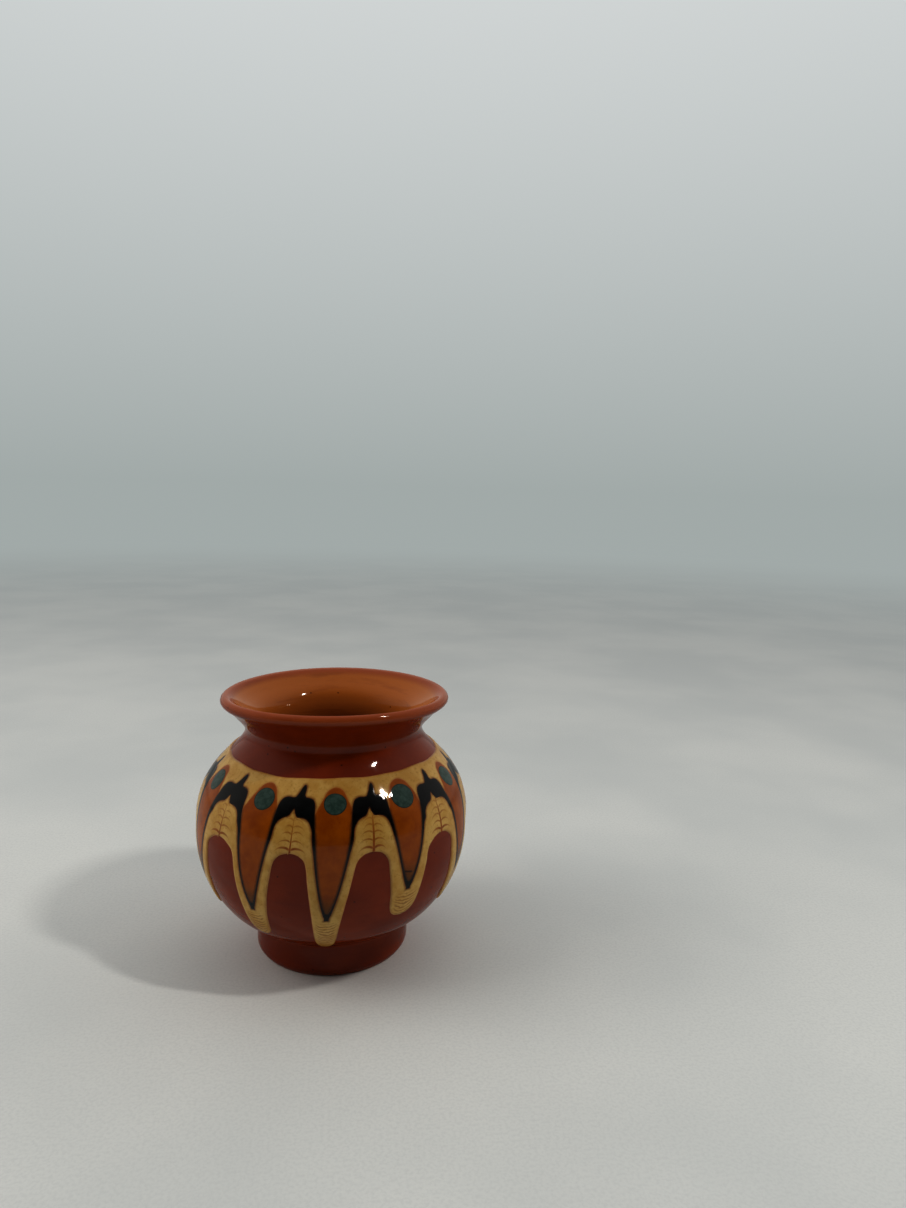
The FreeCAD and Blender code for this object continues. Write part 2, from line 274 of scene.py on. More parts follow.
# Red earthenware, thrown and fired under a clear glaze: deep warm red-brown outside and amber in
# the hollow, where the glaze lies thinner, with turning streaks and small iron specks in it.
red_clay, tree = new_material("thrown_red_earthenware_clear_glazed")
place = add(tree, "TexCoord").outputs["Object"]
cloud = noise(tree, place, 9.0, 5.0, 0.55)
flat = add(tree, "Mapping", {"Scale": (1.0, 1.0, 9.0)}, {"Vector": place})
streak = noise(tree, flat.outputs[0], 11.0, 3.5, 0.6)
lining = marked(tree, "lining")
grain = noise(tree, place, 0.35, 2.0)
speck = add(tree, "TexVoronoi", {"Scale": 1.0 / (2.6 * MM), "Randomness": 1.0}, {"Vector": place})
height = add(tree, "SeparateXYZ", None, {0: place}).outputs["Z"]
colour = tint(tree, "782A07", "88340A", ramp(tree, cloud, 0.35, 0.7))
# Painted reflection: the lip, from 47.8 mm up, is lightened to a paler red to stand in for the bright
# walls that its upward face mirrors.
colour = tint(tree, colour, "A85A30", ramp(tree, height, 47.8 * MM, 49.2 * MM, 0.75))
colour = tint(tree, colour, "B26C2E", ramp(tree, lining, 0.05, 0.95))
colour = tint(tree, colour, "6C2406", ramp(tree, streak, 0.52, 0.78, 0.35))
colour = tint(tree, colour, "9A4A1A", ramp(tree, grain, 0.60, 0.80, 0.25))
colour = tint(tree, colour, "2E0F06", ramp(tree, speck.outputs["Distance"], 0.085, 0.04, 0.75))
finish_glazed(tree, colour, 0.55)

# The same clay without glaze, rubbed on the board: paler, dry and rough, with fine sand in it.
bare_clay, tree = new_material("bare_red_earthenware_wire_cut")
place = add(tree, "TexCoord").outputs["Object"]
sand = noise(tree, place, 0.5, 5.0, 0.7)
cloud = noise(tree, place, 6.0, 4.0)
colour = tint(tree, "A65B3E", "B86E4E", ramp(tree, cloud, 0.35, 0.7))
colour = tint(tree, colour, "7D3F2A", ramp(tree, sand, 0.58, 0.8, 0.7))
dry = add(tree, "Bump", {"Strength": 0.5, "Distance": 0.05 * MM}, {"Height": sand})
shader = add(tree, "BsdfPrincipled", {"Roughness": 0.85, "Specular IOR Level": 0.3}, {
    "Base Color": colour, "Normal": dry.outputs[0]})
add(tree, "OutputMaterial", None, {"Surface": shader.outputs[0]})

# The wire leaves shallow arcs under the foot, all bowed about one place beside the pot.
WIRE_MIDDLE = (-9.0, 26.0)
WIRE_SPACING = 1.25

points, faces, lining = build_clay()
under = points[:, 2] < 0.02
swirl = np.hypot(points[:, 0] - WIRE_MIDDLE[0], points[:, 1] - WIRE_MIDDLE[1])
inset = np.clip((13.0 - np.hypot(points[:, 0], points[:, 1])) / 2.0, 0.0, 1.0)
points[:, 2] += under * inset * (0.05 + 0.045 * np.sin(2.0 * math.pi * swirl / WIRE_SPACING))
points = hand_of_the_thrower(points)
clay = make_mesh("clay_body_thrown", points, faces, [red_clay, bare_clay])
centres = np.array([np.mean(points[face, 2]) for face in faces])
downward = np.array([polygon.normal.z < -0.5 for polygon in clay.data.polygons])
clay.data.polygons.foreach_set("material_index", (downward & (centres < 0.4)).astype(np.int32))
keep_marks(clay, {"lining": lining})
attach(clay, "root")
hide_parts("clay_body")

# ---- The poured cream
# A collar of white-firing slip, poured round the shoulder with the pot upside down and then upright,
# so it runs down in long drops. Clear glaze turns it to a warm cream.

# Angles are degrees round from the front, and levels are shares of the height from the top of the
# foot to the neck. Each list has one value for each of the eleven motifs.
OUTSIDE, RUN = resample(OUTER, 0.05)
OUTSIDE = smoothed(OUTSIDE, 60)
OUTSIDE_NORMALS = line_normals(OUTSIDE)
TONGUE_ANGLES = [0.5, 31.2, 65.5, 97.6, 130.8, 164.4, 196.1, 229.6, 261.2, 293.5, 328.8]
LEANS = [-6.0, -3.0, -4.0, -5.0, -2.0, -4.5, -3.0, -1.0, -5.5, -4.0, -5.0]
VEE_TIPS = [0.268, 0.383, 0.34, 0.30, 0.36, 0.27, 0.32, 0.38, 0.29, 0.33, 0.287]
DROP_TIPS = [0.044, 0.232, 0.17, 0.09, 0.20, 0.06, 0.14, 0.22, 0.08, 0.17, 0.12]
COUNT = len(TONGUE_ANGLES)
PITCH = 360.0 / COUNT
COLLAR_TOP = 0.90
VEE_TOP = 0.76
VEE_END = 0.72
VEE_SPREAD = 0.23
VEE_FILL = 0.041


def run_at(level):
    """Distance along the outer line at a share of the height between the foot and the neck."""
    return np.interp(FOOT_HEIGHT + np.asarray(level) * (NECK_HEIGHT - FOOT_HEIGHT), OUTSIDE[:, 1], RUN)


def level_at(run):
    """The level at a distance along the outer line."""
    return (np.interp(run, RUN, OUTSIDE[:, 1]) - FOOT_HEIGHT) / (NECK_HEIGHT - FOOT_HEIGHT)


def radius_at(level):
    """The wall's radius at a level."""
    return np.interp(run_at(level), RUN, OUTSIDE[:, 0])


def tongue_line(index, level):
    """The middle of a tongue, which leans as it runs down."""
    turns, number = divmod(index, COUNT)
    return TONGUE_ANGLES[number] + 360.0 * turns + LEANS[number] * (0.8 - level)


def window_line(index, level):
    """The middle of the bare clay between two tongues."""
    return 0.5 * (tongue_line(index, level) + tongue_line(index + 1, level))


def beside_tongue(index, side, share, level):
    """A place beside a tongue's middle, by a share of the space from tongue to tongue."""
    return (tongue_line(index, level) + side * share * PITCH, level)


def in_window(index, points):
    """Points given as shares of the gap between two tongues, as angles and levels."""
    placed = []
    for share, level in points:
        gap = tongue_line(index + 1, level) - tongue_line(index, level)
        placed.append((window_line(index, level) + share * gap, level))
    return placed


def flowing(points, steps=8):
    """A smooth line through given points."""
    p = np.array(points, float)
    p = np.vstack([2.0 * p[0] - p[1], p, 2.0 * p[-1] - p[-2]])
    t = np.linspace(0.0, 1.0, steps, endpoint=False)[:, None]
    pieces = []
    for a, b, c, d in zip(p[:-3], p[1:-2], p[2:-1], p[3:]):
        square = 2 * a - 5 * b + 4 * c - d
        cube = 3 * b - a - 3 * c + d
        pieces.append(0.5 * (2 * b + (c - a) * t + square * t ** 2 + cube * t ** 3))
    return np.vstack(pieces + [p[-2:-1]])


DROP_HALF = 0.155
DROP_FLARE = 0.45
DROP_FLARE_FROM = 0.1


def drop_half_width(level):
    """Half of a drop's width as a share of the pitch: even at its end, wider up to the collar."""
    return DROP_HALF + DROP_FLARE * np.maximum(0.0, level - DROP_FLARE_FROM) ** 1.5


def drop_side(index, side):
    """One side of a cream drop, from under its tip to where the window's arch begins."""
    tip = DROP_TIPS[index % COUNT]
    points = [beside_tongue(index, -side, 0.03, tip)]
    for share, rise in [(0.55, 0.010), (0.9, 0.038), (1.0, 0.075)]:
        points.append(beside_tongue(index, side, share * drop_half_width(tip + rise), tip + rise))
    straight = points[-1][1]
    for share in (0.25, 0.5, 0.75, 1.0):
        level = straight + share * (0.55 - straight)
        points.append(beside_tongue(index, side, drop_half_width(level), level))
    return points


def window_outline(index):
    """The bare clay between two cream drops, open below their tips."""
    arch = in_window(index, [(-0.13, 0.585), (-0.04, 0.598), (0.04, 0.598), (0.13, 0.585)])
    edge = flowing(drop_side(index, 1) + arch + drop_side(index + 1, -1)[::-1])
    below = np.array([(edge[-1, 0], -0.06), (edge[0, 0], -0.06)])
    return np.vstack([edge, below])


def chart(outline):
    """Angles and levels as angles and distances along the wall."""
    return np.column_stack([outline[:, 0], run_at(outline[:, 1])])


GRID_COLUMNS = 840
GRID_STEP = 0.2
GRID_RUNS = np.arange(run_at(0.0) + 0.4, run_at(COLLAR_TOP) + 0.8, GRID_STEP)
GRID_ANGLES = np.arange(GRID_COLUMNS) * 360.0 / GRID_COLUMNS
GRID_RADIUS = np.interp(GRID_RUNS, RUN, OUTSIDE[:, 0])
GRID_LEVELS = level_at(GRID_RUNS)


def outline_distance(outline, reach=1.5):
    """Signed distance in mm from an outline at the grid's points near it: rows, columns and the
    distances, which are below zero inside."""
    loop = chart(outline)
    low = np.searchsorted(GRID_RUNS, loop[:, 1].min() - reach)
    high = np.searchsorted(GRID_RUNS, loop[:, 1].max() + reach)
    rows = np.arange(low, high)
    spare = math.degrees(reach / GRID_RADIUS[rows].min())
    step = 360.0 / GRID_COLUMNS
    columns = np.arange(int((loop[:, 0].min() - spare) / step), int((loop[:, 0].max() + spare) / step) + 1)
    x = np.radians(loop[:, 0] - (columns * step)[None, :, None]) * GRID_RADIUS[rows][:, None, None]
    y = np.broadcast_to(loop[:, 1] - GRID_RUNS[rows][:, None, None], x.shape)
    ex, ey = np.roll(x, -1, axis=2) - x, np.roll(y, -1, axis=2) - y
    along = np.clip(-(x * ex + y * ey) / np.maximum(ex * ex + ey * ey, 1e-12), 0.0, 1.0)
    distance = np.sqrt(np.min((x + along * ex) ** 2 + (y + along * ey) ** 2, axis=2))
    crosses = ((y > 0) != (y + ey > 0)) & (x - y * ex / np.where(ey == 0, 1e-12, ey) > 0)
    inside = crosses.sum(axis=2) % 2 == 1
    return rows, columns, np.where(inside, -distance, distance)


FAR = 9.0


def on_grid(outlines):
    """The smallest signed distance from several outlines over the whole grid, up to FAR."""
    field = np.full((len(GRID_RUNS), GRID_COLUMNS), FAR)
    for outline in outlines:
        rows, columns, distance = outline_distance(outline)
        spot = np.ix_(rows, columns % GRID_COLUMNS)
        field[spot] = np.minimum(field[spot], distance)
    return field


def wall_points(angles, runs, lift):
    """Places on the outer wall, lifted off it in mm."""
    r = np.interp(runs, RUN, OUTSIDE[:, 0]) + lift * np.interp(runs, RUN, OUTSIDE_NORMALS[:, 0])
    z = np.interp(runs, RUN, OUTSIDE[:, 1]) + lift * np.interp(runs, RUN, OUTSIDE_NORMALS[:, 1])
    turn = np.radians(angles)
    return np.column_stack([r * np.sin(turn), -r * np.cos(turn), z])


def layer(name, field, rows, columns, lift, materials, marks=None):
    """A skin over the part of the grid where a field is below zero, cut smoothly along its zero
    line. lift gives its height for a depth inside the edge, and marks are values kept on its corners."""
    height, width = field.shape
    wraps = width == GRID_COLUMNS
    if wraps:
        field = np.hstack([field, field[:, :1]])
    ids = np.arange(height)[:, None] * field.shape[1] + np.arange(field.shape[1])[None, :]
    step = 360.0 / GRID_COLUMNS
    angle = np.broadcast_to((columns[0] + np.arange(field.shape[1])) * step, field.shape)
    run = np.broadcast_to(GRID_RUNS[rows][:, None], field.shape)
    extra = {}
    for key, values in (marks or {}).items():
        extra[key] = np.hstack([values, values[:, :1]]) if wraps else values
    stacked = np.stack([angle, run, field] + list(extra.values()), axis=-1).reshape(-1, 3 + len(extra))
    flat = field.ravel()
    inside = flat < 0.0
    corners = np.stack([ids[:-1, :-1], ids[:-1, 1:], ids[1:, 1:], ids[1:, :-1]], axis=-1).reshape(-1, 4)
    counts = inside[corners].sum(axis=1)
    whole = corners[counts == 4]
    table, made, polygons = {}, [], []
    first_new = len(flat)
    for quad in corners[(counts > 0) & (counts < 4)]:
        polygon = []
        for a, b in zip(quad, np.roll(quad, -1)):
            if inside[a]:
                polygon.append(int(a))
            if inside[a] != inside[b]:
                key = (min(a, b), max(a, b))
                if key not in table:
                    share = np.clip(flat[key[0]] / (flat[key[0]] - flat[key[1]]), 0.02, 0.98)
                    table[key] = first_new + len(made)
                    made.append(stacked[key[0]] * (1.0 - share) + stacked[key[1]] * share)
                    made[-1][2] = 0.0
                polygon.append(table[key])
        polygons.append(polygon)
    values = np.vstack([stacked] + ([np.array(made)] if made else []))
    used = np.unique(np.concatenate([whole.ravel(), np.array([i for p in polygons for i in p], int)]))
    if wraps:
        last = field.shape[1] - 1
        seam = {int(i): int(i) - last for i in used if i < first_new and i % field.shape[1] == last}
    else:
        seam = {}
    renumber = np.full(len(values), -1)
    kept = np.array([i for i in used if i not in seam])
    renumber[kept] = np.arange(len(kept))
    for old, new in seam.items():
        renumber[old] = renumber[new]
    values = values[kept]
    faces = renumber[whole].tolist() + [[int(renumber[i]) for i in polygon] for polygon in polygons]
    depth = -values[:, 2]
    points = hand_of_the_thrower(wall_points(values[:, 0], values[:, 1], lift(depth)))
    piece = make_mesh(name, points, faces, materials)
    keep_marks(piece, {"depth": depth, **{key: values[:, 3 + n] for n, key in enumerate(extra)}})
    return piece


def rounded_edge(depth, width):
    """From 0 at an edge to 1 at a depth, rounded as wet slip is."""
    share = np.clip(depth / width, 0.0, 1.0)
    return np.sqrt(1.0 - (1.0 - share) ** 2)


VEE_CURVE = 0.62
VEE_FLARE = 0.03
VEE_LEG = 0.06


def vee_inner(index, level):
    """Half of the inner width of a vee, as a share of the pitch."""
    bottom = VEE_TIPS[index % COUNT] + VEE_FILL
    return VEE_SPREAD * max(0.0, (level - bottom) / (VEE_TOP - bottom)) ** VEE_CURVE


def vee_outer(index, level):
    """Half of its outer width: the black line thickens as it climbs, most of all under the cap."""
    rise = max(0.0, (level - VEE_TIPS[index % COUNT]) / (VEE_TOP - VEE_TIPS[index % COUNT]))
    return VEE_SPREAD * rise ** VEE_CURVE + VEE_FLARE * rise + VEE_LEG * rise ** 6


def vee_edge(index, side, width):
    """One edge of a black line, rising from the vee's tip to the cap."""
    bottom = VEE_TIPS[index % COUNT] + (VEE_FILL if width is vee_inner else 0.0)
    points = [beside_tongue(index, -side, 0.03, bottom)]
    for share in (0.01, 0.03, 0.07, 0.12, 0.20, 0.28, 0.38, 0.50, 0.62, 0.74, 0.87):
        level = bottom + share * (VEE_END - bottom)
        points.append(beside_tongue(index, side, width(index, level), level))
    return points


def cap_outline(index):
    """A black cap: two lobes and a slanting spike, with a thin line running down each side."""
    left_lobe = [
        (-0.272, 0.765), (-0.258, 0.795), (-0.225, 0.816),
        (-0.16, 0.824), (-0.09, 0.823), (-0.05, 0.825),
    ]
    spike = [
        (-0.05, 0.825), (-0.012, 0.843), (0.016, 0.861), (0.045, 0.870),
        (0.072, 0.863), (0.078, 0.846), (0.076, 0.833), (0.10, 0.825),
    ]
    right_lobe = [(0.10, 0.825), (0.15, 0.824), (0.205, 0.817), (0.238, 0.797), (0.250, 0.765)]
    right_arch = [
        (0.240, 0.695), (0.210, 0.722), (0.170, 0.740), (0.110, 0.749),
        (0.035, 0.751), (0.005, 0.759), (-0.014, 0.770), (-0.030, 0.783),
    ]
    left_arch = [
        (-0.030, 0.783), (-0.050, 0.773), (-0.068, 0.762), (-0.095, 0.753),
        (-0.140, 0.747), (-0.190, 0.737), (-0.228, 0.718), (-0.243, 0.695),
    ]
    return np.vstack([
        flowing(vee_edge(index, 1, vee_inner) + in_window(index, left_lobe)),
        flowing(in_window(index, spike)),
        flowing(in_window(index, right_lobe) + vee_edge(index + 1, -1, vee_inner)[::-1]),
        flowing(vee_edge(index + 1, -1, vee_outer) + in_window(index, right_arch)),
        flowing(in_window(index, left_arch) + vee_edge(index, 1, vee_outer)[::-1]),
    ])


DOT_RADIUS = 1.85
DOT_LEVEL = 0.803
DOT_SIZES = [1.0, 1.17, 1.07, 0.95, 1.05, 1.1, 0.95, 1.15, 1.0, 1.05, 1.03]
HEAD_RIM = 0.5


def tongue_outline(index):
    """The orange between two caps. Its sides run along the middle of the black lines."""
    tip = VEE_TIPS[index]
    dot = DOT_RADIUS * DOT_SIZES[index]
    head = (dot + HEAD_RIM) / (radius_at(DOT_LEVEL) * math.radians(PITCH))
    crown = float(level_at(run_at(DOT_LEVEL) + dot + 2 * HEAD_RIM))
    half = [(0.56 * head, crown - 0.013), (0.88 * head, crown - 0.046), (head, DOT_LEVEL)]
    half += [(max(0.225, head), 0.776), (0.252, 0.742)]
    for share in (0.8, 0.55, 0.3, 0.12):
        level = tip + VEE_FILL + share * (VEE_END - tip - VEE_FILL)
        half.append((0.5 * (vee_inner(index, level) + vee_outer(index, level)), level))
    right = [beside_tongue(index, 1, share, level) for share, level in half]
    left = [beside_tongue(index, -1, share, level) for share, level in half]
    top = beside_tongue(index, 1, 0.0, crown)
    bottom = beside_tongue(index, 1, 0.0, tip + 0.5 * VEE_FILL)
    return flowing([bottom] + left[::-1] + [top] + right + [bottom])[:-1]


def tongue_marks(rows, columns, index):
    """For the marks in a drop: mm below the vee's tip, and the share across the drop."""
    levels = GRID_LEVELS[rows][:, None]
    angles = columns[None, :] * 360.0 / GRID_COLUMNS
    middle = tongue_line(index, levels)
    across = (angles - middle) / (PITCH * drop_half_width(levels))
    below = run_at(VEE_TIPS[index % COUNT]) - GRID_RUNS[rows][:, None]
    return np.broadcast_to(below, across.shape), across


windows = on_grid([window_outline(i) for i in range(COUNT)])
caps = on_grid([cap_outline(i) for i in range(COUNT)])
tongues = on_grid([tongue_outline(i) for i in range(COUNT)])
turns = np.radians(GRID_ANGLES)[None, :]
wander = 0.12 * np.sin(3.0 * turns + 0.4) + 0.09 * np.sin(7.0 * turns + 2.0)
wander += 0.05 * np.sin(17.0 * turns)
collar = GRID_RUNS[:, None] - (run_at(COLLAR_TOP) - 0.22 + wander)
cream_field = np.maximum(np.maximum(collar, -windows), run_at(0.02) + 0.3 - GRID_RUNS[:, None])
below_vee = np.full(cream_field.shape, -FAR)
across_drop = np.full(cream_field.shape, FAR)
rows = np.arange(len(GRID_RUNS))
for index in range(COUNT):
    middle = tongue_line(index, 0.3)
    first = int(round((middle - 0.5 * PITCH) / 360.0 * GRID_COLUMNS))
    end = int(round((middle + 0.5 * PITCH) / 360.0 * GRID_COLUMNS))
    columns = np.arange(first, end)
    below, across = tongue_marks(rows, columns, index)
    spot = np.ix_(rows, columns % GRID_COLUMNS)
    below_vee[spot] = below
    across_drop[spot] = across

# White-firing slip under clear glaze: warm cream, mottled by brush and pouring, thin and pinkish
# at its edge where the red shows through, rusty where black and orange bled, with brown ripples
# in the drops where the slip slid in folds.
cream, tree = new_material("poured_white_slip_clear_glazed")
place = add(tree, "TexCoord").outputs["Object"]
depth = marked(tree, "depth")
black_near = marked(tree, "black_near")
orange_near = marked(tree, "orange_near")
below_tip = marked(tree, "below_tip")
across = marked(tree, "across")
cloud = noise(tree, place, 3.5, 5.0, 0.6)
crumb = noise(tree, place, 0.45, 3.0)
shake = noise(tree, place, 1.1, 3.0)
colour = tint(tree, "C0964C", "D4B26C", ramp(tree, cloud, 0.3, 0.72))
colour = tint(tree, colour, "A67C38", ramp(tree, crumb, 0.52, 0.78, 0.55))
sway = noise(tree, place, 1.9, 2.0, 0.6)
bowed = work(tree, "POWER", across, 2.0)
fold = work(tree, "MULTIPLY_ADD", bowed, 1.5, below_tip)
fold = work(tree, "MULTIPLY_ADD", sway, 1.5, fold)
wave = work(tree, "MULTIPLY", fold, 2.0 * math.pi / 0.72)
wave = work(tree, "SINE", wave)
in_drop = work(tree, "MULTIPLY", ramp(tree, below_tip, 0.2, 1.4), ramp(tree, bowed, 0.75, 0.25))
fold_share = work(tree, "MULTIPLY", ramp(tree, wave, 0.0, 0.9, 0.62), in_drop)
colour = tint(tree, colour, "8C5422", fold_share)
thin = work(tree, "MULTIPLY_ADD", shake, 0.35, -0.17)
edge = work(tree, "ADD", depth, thin)
colour = tint(tree, colour, "B47C4E", ramp(tree, edge, 0.42, 0.0, 0.7))
bleed = work(tree, "ADD", black_near, thin)
colour = tint(tree, colour, "7A4420", ramp(tree, bleed, 0.50, -0.05, 0.85))
bleed = work(tree, "ADD", orange_near, thin)
colour = tint(tree, colour, "A8632A", ramp(tree, bleed, 0.40, -0.05, 0.7))
finish_glazed(tree, colour, 0.5)

CREAM_LIFT = 0.26
CREAM_SUNK = 0.03
CREAM_ROUND = 0.75


def cream_height(depth):
    """The coat's height over the clay: its edge starts just under the surface and rounds up."""
    return (CREAM_LIFT + CREAM_SUNK) * rounded_edge(depth, CREAM_ROUND) - CREAM_SUNK


slip = layer(
    "cream_slip_poured", cream_field, rows, np.arange(GRID_COLUMNS), cream_height, [cream],
    {"black_near": caps, "orange_near": tongues, "below_tip": below_vee, "across": across_drop},
)
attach(slip, "root")
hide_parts("cream_slip")

# ---- The black caps
# Iron and manganese slip, trailed in an arc over each window while the cream was wet and drawn
# down each side in a thin line. It lies level with the cream and its edge has bled a little rust.

black, tree = new_material("black_slip_trailed_clear_glazed")
place = add(tree, "TexCoord").outputs["Object"]
depth = marked(tree, "depth")
cloud = noise(tree, place, 2.2, 4.0)
shake = noise(tree, place, 0.8, 3.0)
colour = tint(tree, "0A0A0B", "131516", ramp(tree, cloud, 0.35, 0.75))
edge = work(tree, "MULTIPLY_ADD", shake, 0.22, -0.11)
edge = work(tree, "ADD", depth, edge)
colour = tint(tree, colour, "4A2C1C", ramp(tree, edge, 0.20, 0.0, 0.85))
finish_glazed(tree, colour, 0.5)


def levelled(low, high):
    """A height over the clay that rises gently from a patch's edge, as the glaze levels it."""
    def lift(depth):
        share = np.clip(depth / 0.6, 0.0, 1.0)
        return CREAM_LIFT + low + (high - low) * share * (2.0 - share)
    return lift


def inlay(outline, name, lift, material, node, marks=None):
    """A patch of coloured slip let into the cream. marks gives functions of rows and columns."""
    rows, columns, field = outline_distance(outline, 0.6)
    kept = {}
    for key, values in (marks or {}).items():
        kept[key] = np.broadcast_to(values(rows, columns), field.shape)
    piece = layer(name, field, rows, columns, lift, [material], kept)
    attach(piece, "root")
    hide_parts(node)


for index in range(COUNT):
    number = "%02d" % (index + 1)
    inlay(cap_outline(index), "black_cap_" + number + "_trailed", levelled(0.010, 0.024),
          black, "black_cap_" + number)

# ---- The orange tongues
# Ochre slip let fall between the caps. It is thick and even in the head, and thins to an olive
# shade in the bottom of the vee where black has mixed into it.

orange, tree = new_material("ochre_slip_trailed_clear_glazed")
place = add(tree, "TexCoord").outputs["Object"]
depth = marked(tree, "depth")
above = marked(tree, "above_tip")
black_near = marked(tree, "black_near")
cloud = noise(tree, place, 3.0, 5.0, 0.6)
long_way = add(tree, "Mapping", {"Scale": (1.0, 1.0, 0.18)}, {"Vector": place})
drag = noise(tree, long_way.outputs[0], 1.3, 4.0)
scratch = marked(tree, "scratch")
shake = noise(tree, place, 0.8, 3.0)
colour = tint(tree, "8E4604", "A45806", ramp(tree, cloud, 0.3, 0.75))
colour = tint(tree, colour, "803804", ramp(tree, drag, 0.55, 0.8, 0.5))
colour = tint(tree, colour, "5A3A0C", ramp(tree, above, 4.5, 0.8, 0.75))
jitter = work(tree, "MULTIPLY_ADD", shake, 0.3, -0.15)
bleed = work(tree, "ADD", black_near, jitter)
colour = tint(tree, colour, "3C2411", ramp(tree, bleed, 0.42, -0.05, 0.75))
edge = work(tree, "ADD", depth, jitter)
colour = tint(tree, colour, "A8632A", ramp(tree, edge, 0.3, 0.0, 0.5))
colour = tint(tree, colour, "2C1404", ramp(tree, scratch, 0.26, 0.06, 0.9))
finish_glazed(tree, colour, 0.5)

SCRATCH_START = (22.5, 0.497)
SCRATCH_END = (31.0, 0.470)


def scratch_distance(rows, columns):
    """Distance in mm from a short scratch in the glaze, low on the second tongue."""
    start = (SCRATCH_START[0], float(run_at(SCRATCH_START[1])))
    end = (SCRATCH_END[0], float(run_at(SCRATCH_END[1])))
    radius = float(radius_at(0.48))
    x = np.radians(columns[None, :] * 360.0 / GRID_COLUMNS - start[0]) * radius
    y = GRID_RUNS[rows][:, None] - start[1]
    ex, ey = math.radians(end[0] - start[0]) * radius, end[1] - start[1]
    along = np.clip((x * ex + y * ey) / (ex * ex + ey * ey), 0.0, 1.0)
    return np.hypot(x - along * ex, y - along * ey)


def black_distance(rows, columns):
    """Distance in mm from the black, below zero inside it."""
    return caps[np.ix_(rows, columns % GRID_COLUMNS)]


def distance_above(tip_run):
    """Distance in mm up from a tongue's tip."""
    def above(rows, columns):
        return (GRID_RUNS[rows] - tip_run)[:, None]
    return above


for index in range(COUNT):
    number = "%02d" % (index + 1)
    above_tip = distance_above(run_at(VEE_TIPS[index] + VEE_FILL))
    inlay(tongue_outline(index), "orange_tongue_" + number + "_trailed", levelled(0.002, 0.010),
          orange, "orange_tongue_" + number,
          {"above_tip": above_tip, "black_near": black_distance, "scratch": scratch_distance})

# ---- The green dots
# A drop of copper and iron slip, let fall on the head of each tongue, where it spread into a disc.
# It is a dull blue-green, mottled, with a darker rim.

green, tree = new_material("copper_green_slip_dropped_clear_glazed")
place = add(tree, "TexCoord").outputs["Object"]
depth = marked(tree, "depth")
cloud = noise(tree, place, 0.9, 4.0, 0.6)
shake = noise(tree, place, 0.6, 3.0)
colour = tint(tree, "324740", "485E58", ramp(tree, cloud, 0.32, 0.72))
jitter = work(tree, "MULTIPLY_ADD", shake, 0.24, -0.12)
edge = work(tree, "ADD", depth, jitter)
colour = tint(tree, colour, "2A2E22", ramp(tree, edge, 0.26, 0.0, 0.8))
finish_glazed(tree, colour, 0.5)

DOT_POINTS = 40


def dot_outline(index):
    """A round drop of slip on the wall, a little out of true as a fallen drop is."""
    turns = np.arange(DOT_POINTS) * 2.0 * math.pi / DOT_POINTS
    sway = 0.015 * np.cos(2.0 * turns + index) + 0.01 * np.cos(3.0 * turns + 2 * index)
    size = DOT_RADIUS * DOT_SIZES[index] * (1.0 + sway)
    runs = run_at(DOT_LEVEL) + size * np.sin(turns)
    radius = np.interp(runs, RUN, OUTSIDE[:, 0])
    angles = TONGUE_ANGLES[index] + np.degrees(size * np.cos(turns) / radius)
    return np.column_stack([angles, level_at(runs)])


for index in range(COUNT):
    number = "%02d" % (index + 1)
    inlay(dot_outline(index), "green_dot_" + number + "_dropped", levelled(0.018, 0.036),
          green, "green_dot_" + number)

# ---- The rust feathers
# Drawn with a bristle through the wet slip below the point of each cap: one midrib and thin bowed
# barbs each side, the lowest the strongest. The drag has left a rust-brown trace with soft edges.

BARB_LEVELS = [0.617, 0.651, 0.684, 0.712, 0.738]
STEM_WIDTH = 0.50
BARB_WIDTH = 0.44
BARB_REACH = 0.19
FEATHER_SEED = 40

# The trace is darkest along the middle of a line and melts into the cream's own colours beside it.
rust, tree = new_material("rust_trace_drawn_clear_glazed")
place = add(tree, "TexCoord").outputs["Object"]
depth = marked(tree, "depth")
thickness = marked(tree, "strength")
shake = noise(tree, place, 0.5, 3.0)
cloud = noise(tree, place, 3.5, 5.0, 0.6)
ground = tint(tree, "C0964C", "D4B26C", ramp(tree, cloud, 0.3, 0.72))
line = tint(tree, "86420C", "9E5614", ramp(tree, shake, 0.35, 0.7))
share = work(tree, "MULTIPLY", ramp(tree, depth, 0.0, 0.75), thickness)
colour = tint(tree, ground, line, share)
finish_glazed(tree, colour, 0.5)


def drawn_line(path, width, strength, lift):
    """A ribbon on the wall along a path of angles and levels, swelling in the middle of its width."""
    path = flowing(path, 6)
    runs = run_at(path[:, 1])
    radius = np.interp(runs, RUN, OUTSIDE[:, 0])
    x = np.radians(path[:, 0]) * radius
    along = np.column_stack([np.gradient(x), np.gradient(runs)])
    along /= np.maximum(np.hypot(along[:, 0], along[:, 1]), 1e-9)[:, None]
    shares = np.linspace(-1.0, 1.0, 7)
    half = 0.5 * np.interp(np.linspace(0, 1, len(path)), *width)
    across = half[:, None] * shares[None, :]
    points_x = x[:, None] - along[:, 1:2] * across
    points_run = runs[:, None] + along[:, 0:1] * across
    angles = np.degrees(points_x / radius[:, None])
    swell = 1.0 - np.abs(shares) ** 2
    height = np.broadcast_to(lift + 0.012 * swell, across.shape)
    marks = np.broadcast_to(1.0 - np.abs(shares), across.shape)
    power = np.broadcast_to(np.interp(np.linspace(0, 1, len(path)), *strength)[:, None], across.shape)
    columns = len(shares)
    ids = np.arange(len(path) * columns).reshape(len(path), columns)
    quads = np.stack([ids[:-1, :-1], ids[:-1, 1:], ids[1:, 1:], ids[1:, :-1]], axis=-1).reshape(-1, 4)
    corners = wall_points(angles.ravel(), points_run.ravel(), height.ravel())
    return corners, quads, marks.ravel(), power.ravel()


